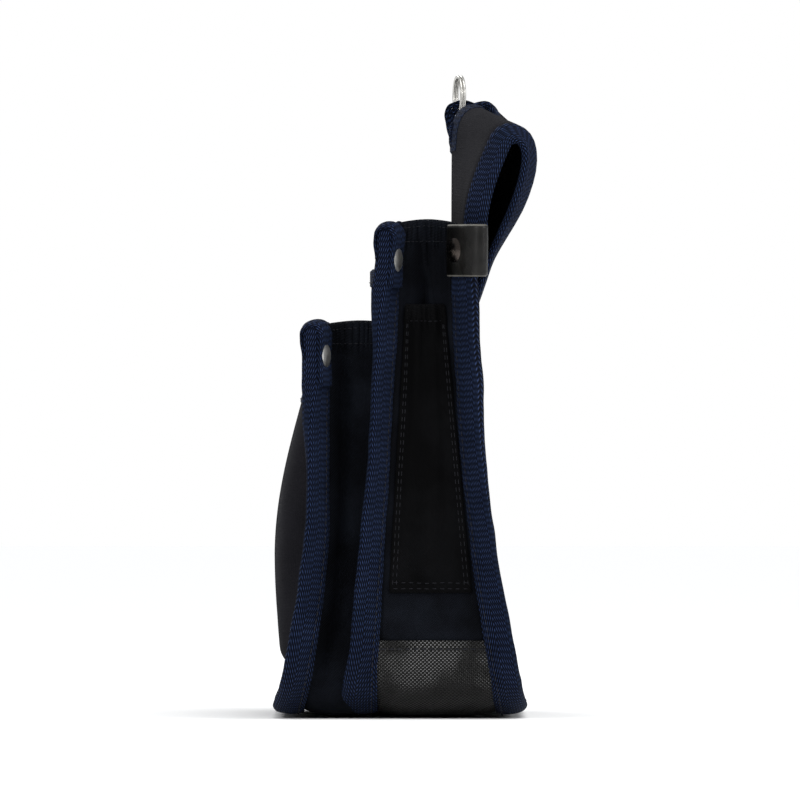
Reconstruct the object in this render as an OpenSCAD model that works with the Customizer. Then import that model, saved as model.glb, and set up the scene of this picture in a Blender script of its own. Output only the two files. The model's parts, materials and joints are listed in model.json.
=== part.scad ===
// Electrician's two-tier belt pouch in canvas, tape and leather.
// X is the width, the front faces -Y, the belt side faces +Y and Z is up.
// The origin is at the middle of the footprint, on the surface the pouch stands on.

/* [Bag] */
// Width between the outer faces of the side walls
bag_w = 204; // [180:1:230]
// Height of the main compartment's mouth
main_h = 248; // [235:1:260]
// Height of the front compartment's mouth
front_h = 197; // [180:1:205]
// Radius of the bag's rounded bottom corners
corner_r = 40; // [30:1:50]
// Thickness of a canvas panel
panel_t = 2.4; // [1.8:0.1:3]
// Thickness of a side wall
wall_t = 1.6; // [1.2:0.1:2]

/* [Depth] */
// Depth position of the rear panel at the mouth
rear_y = 25.2; // [23:0.1:27]
// How far the rear panel runs back at its foot
rear_spread = 23.4; // [18:0.1:26]
// Depth position of the middle panel at the mouth
middle_y = -3; // [-5:0.5:0]
// How far the middle panel runs forward at its foot
middle_spread = 12.5; // [8:0.5:14]
// Depth position of the front panel at the mouth
front_y = -39.8; // [-42:0.1:-38]
// How far the front panel runs forward at its foot
front_spread = 14.1; // [8:0.1:15]

/* [Binding tape] */
// Width of a folded tape from the seam to its edge
tape_w = 14; // [12:0.5:15]
// Thickness of a folded tape with the seam inside it
tape_t = 4.6; // [4:0.1:5]
// Lean of the seams at the mouth, from straight sideways
lean_mouth = 36; // [20:1:40]
// Lean of the seams at the foot, from straight down
lean_foot = 85; // [80:1:88]

/* [Belt flap] */
// Height of the flap's top edge between the loops
flap_top = 290; // [286:1:292]
// Half of the flap's width at the inner edge of its side tapes
flap_half = 88; // [80:1:92]
// Half of the gap between the two belt loops
notch_half = 20; // [18:1:26]
// Thickness of the flap and of the loop straps
strap_t = 2.4; // [2:0.1:3]
// Thickness of the tapes on the loops' edges
loop_tape_t = 3.6; // [3:0.1:4]
// Height of the straps' sewn ends on the rear panel
sewn_low = 174; // [165:1:180]

/* [Hanging ring] */
// Outer diameter of the split ring
ring_d = 21; // [19:0.5:23]
// Diameter of the ring's wire
wire_d = 1.6; // [1.4:0.1:2]
// Height of the ring's pivot in the hanger tape
pivot_z = 303.5; // [303:0.5:305]
// Depth position of the ring's pivot
pivot_y = 27.5; // [26:0.5:29]

/* [Rivets and tabs] */
// Diameter of a rivet cap
rivet_d = 13; // [11:0.5:14]
// Diameter of a rivet's post
post_d = 3; // [2.5:0.1:3.5]
// Height of a leather tab
tab_h = 25; // [20:1:28]
// How far a tab's fold stands out past the tape's edge
tab_slack = 6; // [1:0.5:7]
// Thickness of the tab leather
leather_t = 2; // [1.5:0.1:2.2]
// Height of the leather boot's top edge
boot_h = 39; // [30:1:45]
// Thickness of the leather boot
boot_t = 1.4; // [1:0.1:1.8]

/* [Hidden] */
gap = 0.3;
half_w = bag_w / 2;
foot_z = gap + tape_t / 2 * (1 + sin(lean_foot)) + (tape_w - tape_t / 2) * cos(lean_foot);
lean_h = 150;
// How far the rivets press a mouth end of tape back towards the wall's own direction, in degrees
press_rivet = 15;
press_tab = 4;
arc_steps = 8;
strap_steps = 8;
flap_steps = 7;
canvas = [0.2, 0.2, 0.24];
charcoal = [0.36, 0.36, 0.4];
navy = [0.2, 0.26, 0.42];
leather = [0.12, 0.12, 0.12];
nickel = [0.78, 0.78, 0.8];

// ---- Depth of each panel's middle at a height ----

function rear_depth(z) = rear_y + rear_spread * pow(max(0, 1 - z / 240), 2);
function middle_depth(z) = middle_y - middle_spread * min(1, max(0, (245 - z) / 215));
function front_depth(z) = front_y - front_spread * pow(max(0, 1 - z / 110), 2);
function seam_depth(z, seam) =
    seam == "rear" ? rear_depth(z) : seam == "middle" ? middle_depth(z) : front_depth(z);
function heights(low, high, steps) = [for (i = [0:steps]) low + (high - low) * i / steps];

// ---- Outline and side profiles ----

// Points of the bag's front outline: straight sides and two rounded bottom corners
function outline_points(grow, top) = let (
    r = corner_r + grow,
    cx = half_w + grow - r,
    cz = foot_z - grow + r
) concat(
    [[half_w + grow, top]],
    [for (i = [0:arc_steps]) let (a = -90 * i / arc_steps) [cx + r * cos(a), cz + r * sin(a)]],
    [for (i = [0:arc_steps]) let (a = -90 - 90 * i / arc_steps)
        [-cx + r * cos(a), cz + r * sin(a)]],
    [[-half_w - grow, top]]
);

// Prism of the outline through the whole depth
module outline_prism(grow, top) {
    rotate([90, 0, 0])
    translate([0, 0, -80])
    linear_extrude(height = 160)
    polygon(outline_points(grow, top));
}

// Prism across the width between two depth profiles
module depth_prism(near_seam, near_shift, far_seam, far_shift, low, high) {
    zs = heights(low, high, 10);
    near = [for (z = zs) [seam_depth(z, near_seam) + near_shift, z]];
    far = [for (i = [0:10]) [seam_depth(zs[10 - i], far_seam) + far_shift, zs[10 - i]]];
    rotate([90, 0, 90])
    translate([0, 0, -140])
    linear_extrude(height = 280)
    polygon(concat(near, far));
}

module panel(seam, top) {
    intersection() {
        outline_prism(0, top);
        depth_prism(seam, -panel_t / 2, seam, panel_t / 2, 0, top);
    }
}

// U-shaped wall between two panels: a side, the bottom and the other side in one strip
module gusset(near_seam, far_seam, top) {
    intersection() {
        difference() {
            outline_prism(0, top);
            outline_prism(-wall_t, top + 1);
        }
        depth_prism(near_seam, panel_t / 2 + gap / 2, far_seam, -panel_t / 2 - gap / 2, 0, top);
    }
}

// ---- Swept solids ----

// Closed solid through rings of points. Each ring has an even count, its first half along one
// side and its second half back along the other side.
module skin(rings) {
    n = len(rings[0]);
    m = n / 2;
    last = (len(rings) - 1) * n;
    sides = [for (i = [0:len(rings) - 2]) for (j = [0:n - 1]) let (
        a = i * n + j,
        b = i * n + (j + 1) % n
    ) each [[a, b + n, b], [a, a + n, b + n]]];
    near_cap = [for (j = [0:m - 2]) each [[j, j + 1, n - 1 - j], [j + 1, n - 2 - j, n - 1 - j]]];
    far_cap = [for (j = [0:m - 2]) each [
        [last + j, last + n - 1 - j, last + j + 1],
        [last + j + 1, last + n - 1 - j, last + n - 2 - j]
    ]];
    polyhedron(points = [for (ring = rings) each ring], faces = concat(sides, near_cap, far_cap));
}

// Lean of a seam's tape away from the wall's normal
function lean(z, seam) = lean_mouth
    + (lean_foot - lean_mouth) * pow(max(0, 1 - (z - foot_z) / lean_h), 2)
    - (seam == "rear" ? press_tab : press_rivet)
        * ease((z - (seam == "front" ? front_h : main_h) + 46) / 26);
function ease(t) = let (s = max(0, min(1, t))) s * s * (3 - 2 * s);

// Stations along the seam: [x, z, direction of the outward normal]
function seam_path(top) = let (cx = half_w - corner_r, cz = foot_z + corner_r) concat(
    [for (i = [0:7]) [half_w, top + (cz - top) * i / 8, 0]],
    [for (i = [0:arc_steps]) let (a = -90 * i / arc_steps)
        [cx + corner_r * cos(a), cz + corner_r * sin(a), a]],
    [[0, foot_z, -90]],
    [for (i = [0:arc_steps]) let (a = -90 - 90 * i / arc_steps)
        [-cx + corner_r * cos(a), cz + corner_r * sin(a), a]],
    [for (i = [1:8]) [-half_w, cz + (top - cz) * i / 8, -180]]
);

// Cross-section of a folded tape as [outward, along the depth] with its root beside the wall
function tape_section(turn, grow) = let (
    t = tape_t + 2 * grow,
    tip = tape_w - tape_t / 2,
    root = gap + tape_t / 2 * sin(turn),
    out = [cos(turn), sin(turn)],
    thick = [sin(turn), -cos(turn)]
) [
    [gap, -t / 2 * cos(turn)],
    [root, 0] + t / 2 * thick,
    [root, 0] + tip * out + t / 2 * thick,
    [root, 0] + (tip + t / 2 * cos(50)) * out + t / 2 * sin(50) * thick,
    [root, 0] + (tip + t / 2) * out,
    [root, 0] + (tip + t / 2 * cos(50)) * out - t / 2 * sin(50) * thick,
    [root, 0] + tip * out - t / 2 * thick,
    [gap, t / 2 * cos(turn)],
];

// Section points placed at a station; way is 1 for a seam that leans back and -1 for forward
function placed(section, station, seam, way) = [for (p = section) [
    station[0] + p[0] * cos(station[2]),
    seam_depth(station[1], seam) + way * p[1],
    station[1] + p[0] * sin(station[2])
]];

module seam_tape(seam, top, way) {
    rings = [for (s = seam_path(top)) placed(tape_section(lean(s[1], seam), 0), s, seam, way)];
    if (way > 0) skin(rings);
    else mirror_order(rings);
}

// The same solid with every ring read the other way round, for a section that was mirrored
module mirror_order(rings) {
    n = len(rings[0]);
    skin([for (ring = rings) [for (j = [0:n - 1]) ring[n - 1 - j]]]);
}

// ---- Rivets ----

// Places children on a seam's tape at a height, with Z along the rivet and the cap side up
module at_rivet(side, seam, way, z, out) {
    turn = lean(z, seam);
    root = gap + tape_t / 2 * sin(turn);
    translate([
        side * (half_w + root + out * cos(turn)),
        seam_depth(z, seam) + way * out * sin(turn),
        z
    ])
    rotate([0, 0, side * way * turn])
    rotate([way * 90, 0, 0])
    children();
}

module each_rivet(seam, way, z) {
    for (side = [-1, 1]) {
        at_rivet(side, seam, way, z, rivet_out) children();
    }
}

rivet_out = 5.5;
front_rivet_z = 182;
middle_rivet_z = 230.5;
tab_rivet_z = 235;

// Cap and post; lift is the distance from the tape's middle to the cap's underside
module rivet(lift) {
    difference() {
        translate([0, 0, lift]) cap_shape();
        translate([0, 0, lift - 8]) cylinder(d = 20, h = 8, $fn = 48);
    }
    translate([0, 0, -lift - 1]) cylinder(d = post_d, h = 2 * lift + 1.5, $fn = 24);
}

// Low dome as the top of a ball
module cap_shape() {
    rise = 1.7;
    ball = (pow(rivet_d / 2, 2) + rise * rise) / (2 * rise);
    intersection() {
        translate([0, 0, rise - ball]) sphere(r = ball, $fn = 96);
        cylinder(d = rivet_d, h = rise + 1, $fn = 48);
    }
}

// Flat washer-like cap that the post is set into on the other side
module back_cap(lift) {
    difference() {
        translate([0, 0, -lift - 1.2]) cylinder(d = 10, h = 1.2, $fn = 48);
        translate([0, 0, -lift - 2]) cylinder(d = post_d + 0.1, h = 3, $fn = 24);
    }
}

module rivet_hole() {
    cylinder(d = post_d + 0.2, h = 30, center = true, $fn = 24);
}

// Flat seats under both caps, for a tape that leans against the rivet
module rivet_seats(lift) {
    for (turn = [0, 180]) {
        rotate([turn, 0, 0])
        translate([0, 0, lift - 0.03])
        cylinder(d = rivet_d + 0.4, h = 3, $fn = 48);
    }
}

// ---- Panels, walls and boot ----

module rear_panel() {
    color(canvas) panel("rear", main_h);
}

module middle_panel() {
    color(canvas) panel("middle", main_h - gap);
}

module front_panel() {
    color(canvas) panel("front", front_h - gap);
}

module main_gusset() {
    color(canvas) gusset("middle", "rear", main_h);
}

module front_gusset() {
    color(canvas) gusset("front", "middle", front_h);
}

// Leather under the main compartment, up both sides to boot_h
module leather_boot() {
    color(leather)
    intersection() {
        difference() {
            outline_prism(gap / 2 + boot_t, main_h);
            outline_prism(gap / 2, main_h + 1);
        }
        depth_prism("middle", 3.2, "rear", -3.2, -5, boot_h);
    }
}

// ---- Pockets ----

// Patch pocket on a side wall, open at its top
module side_pocket(side) {
    low = 64;
    high = 207;
    bulge = 7;
    color(canvas)
    difference() {
        pocket_block(side, gap, bulge, low, high, 0);
        pocket_block(side, gap + 0.01, bulge - wall_t, low + wall_t, high + 1, wall_t);
    }
}

// Block beside the wall between the pocket's two slanted edges
module pocket_block(side, inner, outer, low, high, inset) {
    edge_low = 205;
    near_low = -7.5 + inset;
    near_high = 0.5 + inset;
    far_low = 33 - inset;
    far_high = 19.5 - inset;
    full = high - 64;
    far_top = far_low + (far_high - far_low) * full / (edge_low - 64);
    near_top = near_low + (near_high - near_low) * full / (edge_low - 64);
    shift = side > 0 ? half_w + inner : -half_w - outer;
    translate([shift, 0, 0])
    rotate([90, 0, 90])
    linear_extrude(height = outer - inner)
    polygon([[near_low, low], [far_low, low], [far_top, high], [near_top, high]]);
}

module side_pocket_right() {
    side_pocket(1);
}

module side_pocket_left() {
    side_pocket(-1);
}

// Full patch pocket that stands out of the front panel, closed all round but for its mouth
pocket_half = 70;
pocket_low = 24;
pocket_high = 168;
function pocket_front(z) = -51.5 - 14.2 * pow(sin(min(1, (pocket_high + 4 - z) / 92) * 90), 1.2)
    + 3 * pow(max(0, 1 - (z - pocket_low) / 60), 2);

module front_pocket_prism(shift, low, high, half) {
    steps = 12;
    zs = heights(low, high, steps);
    outer = [for (z = zs) [pocket_front(z) + shift, z]];
    back = panel_t / 2 + gap / 2 + shift;
    inner = [for (i = [0:steps]) [front_depth(zs[steps - i]) - back, zs[steps - i]]];
    rotate([90, 0, 90])
    translate([0, 0, -half])
    linear_extrude(height = 2 * half)
    polygon(concat(outer, inner));
}

module front_pocket() {
    color(charcoal)
    difference() {
        front_pocket_prism(0, pocket_low, pocket_high, pocket_half);
        front_pocket_prism(1.6, pocket_low + 2, pocket_high + 1, pocket_half - 1.6);
    }
}

// Tape folded over the pocket's mouth
module front_pocket_binding() {
    color(navy)
    translate([-pocket_half, pocket_front(pocket_high) - 1, pocket_high + gap])
    cube([2 * pocket_half, 3.6, 4]);
}

// Small open pocket on the middle panel's front
inner_half = 55;
inner_low = 140;
inner_high = 222;
inner_front = -17.2;

module inner_pocket() {
    wall_low = middle_depth(inner_low) - panel_t / 2 - gap;
    wall_high = middle_depth(inner_high) - panel_t / 2 - gap;
    color(canvas)
    difference() {
        yz_block([[inner_front, inner_low + 25], [wall_low, inner_low],
            [wall_high, inner_high], [inner_front, inner_high]], inner_half);
        yz_block([[inner_front + 1.4, inner_low + 27], [wall_low - 1.4, inner_low + 4],
            [wall_high - 1.4, inner_high + 1], [inner_front + 1.4, inner_high + 1]], inner_half - 1.4);
    }
}

module yz_block(points, half) {
    rotate([90, 0, 90])
    translate([0, 0, -half])
    linear_extrude(height = 2 * half)
    polygon(points);
}

module inner_pocket_binding() {
    color(navy)
    translate([-inner_half, inner_front - 0.8, inner_high + gap])
    cube([2 * inner_half, 3.4, 5]);
}

// ---- Tapes ----

module rear_binding() {
    color(navy)
    difference() {
        seam_tape("rear", main_h, 1);
        each_rivet("rear", 1, tab_rivet_z) rivet_hole();
    }
}

module middle_binding() {
    color(navy)
    difference() {
        seam_tape("middle", main_h, -1);
        each_rivet("middle", -1, middle_rivet_z) rivet_hole();
        each_rivet("middle", -1, middle_rivet_z) rivet_seats(tape_lift);
    }
}

module front_binding() {
    color(navy)
    difference() {
        seam_tape("front", front_h + 2, -1);
        each_rivet("front", -1, front_rivet_z) rivet_hole();
        each_rivet("front", -1, front_rivet_z) rivet_seats(tape_lift);
    }
}

// Tape folded over a panel's mouth edge
module mouth_tape(seam, top) {
    color(navy)
    translate([-half_w + 2, seam_depth(top, seam) - 2, top])
    cube([bag_w - 4, 4, 2.5]);
}

module middle_mouth_binding() {
    mouth_tape("middle", main_h);
}

module front_mouth_binding() {
    mouth_tape("front", front_h);
}

// ---- Belt flap and loops ----

function bezier(p, t) = pow(1 - t, 3) * p[0] + 3 * t * pow(1 - t, 2) * p[1]
    + 3 * t * t * (1 - t) * p[2] + pow(t, 3) * p[3];
function unit(v) = v / norm(v);

// Depth of the flap's outer line, which curls back as it rises
function flap_edge(z) = 29.5 + 12.5 * pow(max(0, (z - 250) / 40), 1.6);
sewn_y = rear_depth(190) + panel_t / 2 + 2 * gap + loop_tape_t / 2;

// Middle lines of a loop strap over its crest as [depth, height], from the flap to the sewn end
inner_up = [[rear_y, flap_top + gap], [rear_y, 302], [29, 306], [37, 306]];
inner_down = [[37, 306], [47, 306], [48.5, 262], [40, 226]];
outer_up = [[42, flap_top + gap], [44, 295], [47, 297.3], [52, 297.3]];
outer_down = [[52, 297.3], [68.5, 297.3], [72, 268], [45, 233]];
lap = [[sewn_y + 2, 203], [sewn_y, 192]];
edge_up = [[52, flap_top - 3], [53, 288], [54, 288.6], [55, 288.6]];
edge_down = [[55, 288.6], [65, 288], [61, 262], [45, 233]];

function line_points(up, down, low) = concat(
    [for (i = [0:5]) bezier(up, i / 5)],
    [for (i = [1:strap_steps]) bezier(down, i / strap_steps)],
    [for (i = [1:5]) bezier([low[0], low[1], low[2], low[3]], i / 5)],
    [[rear_depth(sewn_low) - rear_depth(190) + sewn_y, sewn_low]]
);
inner_line = line_points(inner_up, inner_down, [inner_down[3], [38, 217], lap[0], lap[1]]);
outer_line = line_points(outer_up, outer_down, [outer_down[3], [40, 217], lap[0], lap[1]]);
edge_line = line_points(edge_up, edge_down, [edge_down[3], [39.5, 217], lap[0], lap[1]]);

// Unit normal of a line of points, to the left of its run
function line_normal(pts, i) = let (
    d = unit(pts[min(i + 1, len(pts) - 1)] - pts[max(i - 1, 0)])
) [-d[1], d[0]];

// A strap's slab between two lines; spread is how the surface leaves the inner line
module strap_slab(side, line_a, x_a, line_b, x_b, thick, spread) {
    across = [for (j = [0:4]) j / 4];
    rings = [for (i = [0:len(line_a) - 1]) let (
        normal = unit(line_normal(line_a, i) + line_normal(line_b, i)),
        row = [for (v = across) let (w = pow(v, spread), p = line_a[i] * (1 - w) + line_b[i] * w)
            [x_a + (x_b - x_a) * v, p[0], p[1]]],
        lift = thick / 2 * [0, normal[0], normal[1]]
    ) concat([for (p = row) p + lift], [for (j = [0:4]) row[4 - j] - lift])];
    if (side > 0) skin(rings);
    else mirror([1, 0, 0]) skin(rings);
}

module belt_loop(side) {
    color(charcoal)
    strap_slab(side, inner_line, notch_half, outer_line, flap_half, strap_t, 2);
}

module belt_loop_right() {
    belt_loop(1);
}

module belt_loop_left() {
    belt_loop(-1);
}

// Outer tape of a loop: flap margin below the crest line and strap margin over it
module loop_binding(side) {
    margin_x = flap_half + gap;
    edge_x = 101;
    low = main_h + gap;
    zs = heights(low, flap_top - gap, 4);
    rings = [for (z = zs) let (
        a = [margin_x, flap_edge(z) + 0.6, z],
        b = [edge_x + 8 * (flap_top - z) / (flap_top - low), flap_edge(z) + 9.5, z],
        lift = [1.6, -1.8, 0]
    ) [a, b, b + lift, a + lift]];
    color(navy) {
        if (side > 0) mirror_order(rings);
        else mirror([1, 0, 0]) mirror_order(rings);
        strap_slab(side, outer_line, margin_x, edge_line, edge_x, loop_tape_t, 1);
    }
}

module loop_binding_right() {
    loop_binding(1);
}

module loop_binding_left() {
    loop_binding(-1);
}

// Flap above the main mouth: level at the middle, curling back towards both sides
module belt_flap() {
    zs = heights(main_h + gap, flap_top, 5);
    xs = [for (j = [-flap_steps:flap_steps]) flap_half * j / flap_steps];
    rings = [for (z = zs) let (row = [for (x = xs) let (
        v = max(0, (abs(x) - notch_half) / (flap_half - notch_half))
    ) [x, rear_y + (flap_edge(z) - rear_y) * v * v, z]]) concat(
        [for (p = row) p - [0, strap_t / 2, 0]],
        [for (j = [0:2 * flap_steps]) row[2 * flap_steps - j] + [0, strap_t / 2, 0]]
    )];
    color(charcoal) skin(rings);
}

// Tape round the notch between the loops: a bar on the flap and an arch up each loop
module notch_binding() {
    tape = 5;
    low = flap_top + gap;
    color(navy) {
        translate([-notch_half + 6, rear_y - 2.6, low]) cube([2 * notch_half - 12, tape, 5]);
        for (side = [-1, 1]) {
            strap_slab(side, inner_line, notch_half - 5.8, inner_line, notch_half - gap, loop_tape_t, 1);
        }
    }
}

// ---- Hanger and ring ----

hanger_bore = 3.1;
hanger_half = 4.6;

// Bunched tape that holds the ring's lowest stretch in an eye
module hanger_tape() {
    low = flap_top + gap + 5 + gap;
    high = 310.8;
    color(navy)
    difference() {
        union() {
            translate([-hanger_half, pivot_y - 6, low])
            cube([2 * hanger_half, 12, high - low - 3]);
            translate([0, pivot_y, high - 5])
            rotate([0, 90, 0])
            cylinder(d = 10, h = 2 * hanger_half, center = true, $fn = 48);
        }
        translate([0, pivot_y, pivot_z])
        rotate([0, 90, 0])
        cylinder(r = hanger_bore, h = 20, center = true, $fn = 48);
    }
}

// How far the ring has turned about the upright in its eye
ring_turn = 11;

// Split ring of two turns of wire lying side by side
module hanging_ring() {
    radius = ring_d / 2 - wire_d / 2;
    color(nickel)
    translate([0, pivot_y, pivot_z + radius])
    rotate([0, 0, ring_turn])
    for (turn = [-1, 1]) {
        translate([0, turn * wire_d * 0.49, 0])
        rotate([90, 0, 0])
        rotate_extrude($fn = 96)
        translate([radius, 0])
        circle(d = wire_d, $fn = 24);
    }
}

// ---- Tabs and rivets ----

// Leather strip folded round the rear tape at a mouth corner
module corner_tab(side) {
    inner = 0.2;
    stations = [for (z = heights(main_h - tab_h, main_h, 2)) [half_w, z, 0]];
    rings = [for (s = stations) let (
        outer_section = tab_section(lean(s[1], "rear"), inner + leather_t),
        inner_section = tab_section(lean(s[1], "rear"), inner)
    ) placed(concat(outer_section, [for (j = [0:5]) inner_section[5 - j]]), s, "rear", 1)];
    color(leather)
    difference() {
        if (side > 0) skin(rings);
        else mirror([1, 0, 0]) skin(rings);
        at_rivet(side, "rear", 1, tab_rivet_z, rivet_out) rivet_hole();
    }
}

// Open U round a tape's section, from the root of one face round the tip to the other root
function tab_section(turn, grow) = let (
    t = tape_t / 2 + grow,
    tip = tape_w - tape_t / 2 + tab_slack,
    root = [gap + tape_t / 2 * sin(turn), 0],
    out = [cos(turn), sin(turn)],
    thick = [sin(turn), -cos(turn)]
) [
    root + 0.6 * out + t * thick,
    root + tip * out + t * thick,
    root + (tip + t * cos(40)) * out + t * sin(40) * thick,
    root + (tip + t * cos(40)) * out - t * sin(40) * thick,
    root + tip * out - t * thick,
    root + 3.4 * out - t * thick,
];

module corner_tab_right() {
    corner_tab(1);
}

module corner_tab_left() {
    corner_tab(-1);
}

tape_lift = tape_t / 2 + 0.1;
tab_lift = tape_t / 2 + 0.3 + leather_t;

module tab_rivets() {
    color(nickel)
    each_rivet("rear", 1, tab_rivet_z) rivet(tab_lift);
}

module middle_rivets() {
    color(nickel)
    each_rivet("middle", -1, middle_rivet_z) rivet(tape_lift);
}

module front_rivets() {
    color(nickel)
    each_rivet("front", -1, front_rivet_z) rivet(tape_lift);
}

module rivet_back_caps() {
    color(nickel) {
        each_rivet("rear", 1, tab_rivet_z) back_cap(tab_lift);
        each_rivet("middle", -1, middle_rivet_z) back_cap(tape_lift);
        each_rivet("front", -1, front_rivet_z) back_cap(tape_lift);
    }
}

rear_panel();
middle_panel();
front_panel();
main_gusset();
front_gusset();
leather_boot();
side_pocket_right();
side_pocket_left();
front_pocket();
front_pocket_binding();
inner_pocket();
inner_pocket_binding();
rear_binding();
middle_binding();
front_binding();
middle_mouth_binding();
front_mouth_binding();
belt_flap();
belt_loop_right();
belt_loop_left();
loop_binding_right();
loop_binding_left();
notch_binding();
hanger_tape();
hanging_ring();
corner_tab_right();
corner_tab_left();
tab_rivets();
middle_rivets();
front_rivets();
rivet_back_caps();
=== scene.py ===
"""Looks of the two-tier electrician's pouch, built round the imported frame.

Shapes are worked out in millimetres and turned to metres when a mesh is made. X is the width,
the front faces -Y, the belt side faces +Y and Z is up.
"""
import json
import math

import bpy
import numpy as np
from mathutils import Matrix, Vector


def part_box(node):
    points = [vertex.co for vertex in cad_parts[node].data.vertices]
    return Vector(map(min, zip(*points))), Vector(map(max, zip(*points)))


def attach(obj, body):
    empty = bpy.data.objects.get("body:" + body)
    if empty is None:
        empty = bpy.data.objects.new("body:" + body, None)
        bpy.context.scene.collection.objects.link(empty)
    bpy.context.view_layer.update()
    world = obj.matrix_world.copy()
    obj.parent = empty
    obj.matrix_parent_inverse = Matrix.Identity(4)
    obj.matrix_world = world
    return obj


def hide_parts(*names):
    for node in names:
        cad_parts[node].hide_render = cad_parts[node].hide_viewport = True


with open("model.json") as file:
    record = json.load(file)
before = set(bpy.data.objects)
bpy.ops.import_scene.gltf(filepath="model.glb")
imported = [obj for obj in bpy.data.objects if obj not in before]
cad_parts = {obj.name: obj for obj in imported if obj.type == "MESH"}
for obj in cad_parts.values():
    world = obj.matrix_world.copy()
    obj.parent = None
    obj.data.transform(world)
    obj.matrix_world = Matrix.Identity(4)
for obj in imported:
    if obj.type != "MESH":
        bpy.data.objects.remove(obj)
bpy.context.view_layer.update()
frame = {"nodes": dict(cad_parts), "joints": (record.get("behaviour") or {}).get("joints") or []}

# ---- sizes from the frame

MM = 0.001


def low_high(node):
    """A node's lowest and highest corners in millimetres."""
    low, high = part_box(node)
    return np.array(low) / MM, np.array(high) / MM


WALL_LOW, WALL_HIGH = low_high("main_gusset")
HALF_W = WALL_HIGH[0]
FOOT_Z = WALL_LOW[2]
MAIN_H = WALL_HIGH[2]
FRONT_H = low_high("front_gusset")[1][2]
BOOT_H = low_high("leather_boot")[1][2]
PIVOT = np.array(frame["joints"][0]["pos_m"]) / MM

# Millimetres, and degrees for the tapes' lean.
CORNER_R = 40.0
PANEL_T = 2.4
WALL_T = 1.6
REAR_Y, REAR_SPREAD = 25.2, 23.4
MIDDLE_Y, MIDDLE_SPREAD = -3.0, 12.5
FRONT_Y, FRONT_SPREAD = -39.8, 14.1
TAPE_W = 14.0
TAPE_T = 4.6
LEAN_MOUTH, LEAN_FOOT = 36.0, 85.0
LEAN_H = 150.0
NOTCH_HALF = 20.0
FLAP_TOP = 290.0
SEWN_LOW, SEWN_TOP = 174.0, 192.0


# Depth of each panel's middle, which spreads from its place at the mouth towards the foot.
def rear_depth(z):
    return REAR_Y + REAR_SPREAD * np.maximum(0, 1 - z / 240) ** 2


def middle_depth(z):
    return MIDDLE_Y - MIDDLE_SPREAD * np.clip((245 - z) / 215, 0, 1)


def front_depth(z):
    return FRONT_Y - FRONT_SPREAD * np.maximum(0, 1 - z / 110) ** 2


DEPTH = {"rear": rear_depth, "middle": middle_depth, "front": front_depth}
PRESS = {"rear": 4.0, "middle": 15.0, "front": 15.0}


def lean(z, seam):
    """Angle of a seam's tape from the wall's outward normal, less where its end is riveted."""
    turn = LEAN_MOUTH + (LEAN_FOOT - LEAN_MOUTH) * np.maximum(0, 1 - (z - FOOT_Z) / LEAN_H) ** 2
    mouth = FRONT_H if seam == "front" else MAIN_H
    return np.radians(turn - PRESS[seam] * smooth(z, mouth - 46, mouth - 20))


def smooth(x, a, b):
    """0 before a, 1 after b, smooth between."""
    t = np.clip((x - a) / (b - a), 0, 1)
    return t * t * (3 - 2 * t)


def waves(x, seed, scale):
    """Smooth, repeatable unevenness between about -1 and 1."""
    total = 0 * x
    for k, (stretch, share) in enumerate(((1.0, 0.5), (1.9, 0.3), (3.7, 0.2))):
        total = total + share * np.sin(x / scale * stretch * 2 * np.pi + seed * (1.7 + k * 2.3))
    return total


def bezier(points, t):
    p = [np.array(q, float) for q in points]
    t = np.asarray(t)[..., None]
    back = 1 - t
    return back**3 * p[0] + 3 * t * back**2 * p[1] + 3 * t * t * back * p[2] + t**3 * p[3]


def unit_rows(vectors):
    """The same directions with length 1."""
    return vectors / np.maximum(np.linalg.norm(vectors, axis=-1, keepdims=True), 1e-9)


def lengths(points):
    """Distance along a line, at each of its points."""
    return np.concatenate([[0], np.cumsum(np.linalg.norm(np.diff(points, axis=0), axis=1))])


def at_lengths(points, along, at):
    """The places at given distances along a line of points."""
    return np.stack([np.interp(at, along, points[:, k]) for k in range(points.shape[1])], -1)


def evenly(points, count):
    """The same line with count points, evenly spaced."""
    points = np.asarray(points, float)
    along = lengths(points)
    return at_lengths(points, along, np.linspace(0, along[-1], count))


def resample(points, step):
    """The same line with points about step apart."""
    return evenly(points, max(3, int(round(lengths(points)[-1] / step)) + 1))


def soften(points, passes):
    """Rounds a line's corners and keeps its ends."""
    points = np.array(points, float)
    for _ in range(passes):
        points[1:-1] = 0.25 * points[:-2] + 0.5 * points[1:-1] + 0.25 * points[2:]
    return points


# ---- materials

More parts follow.
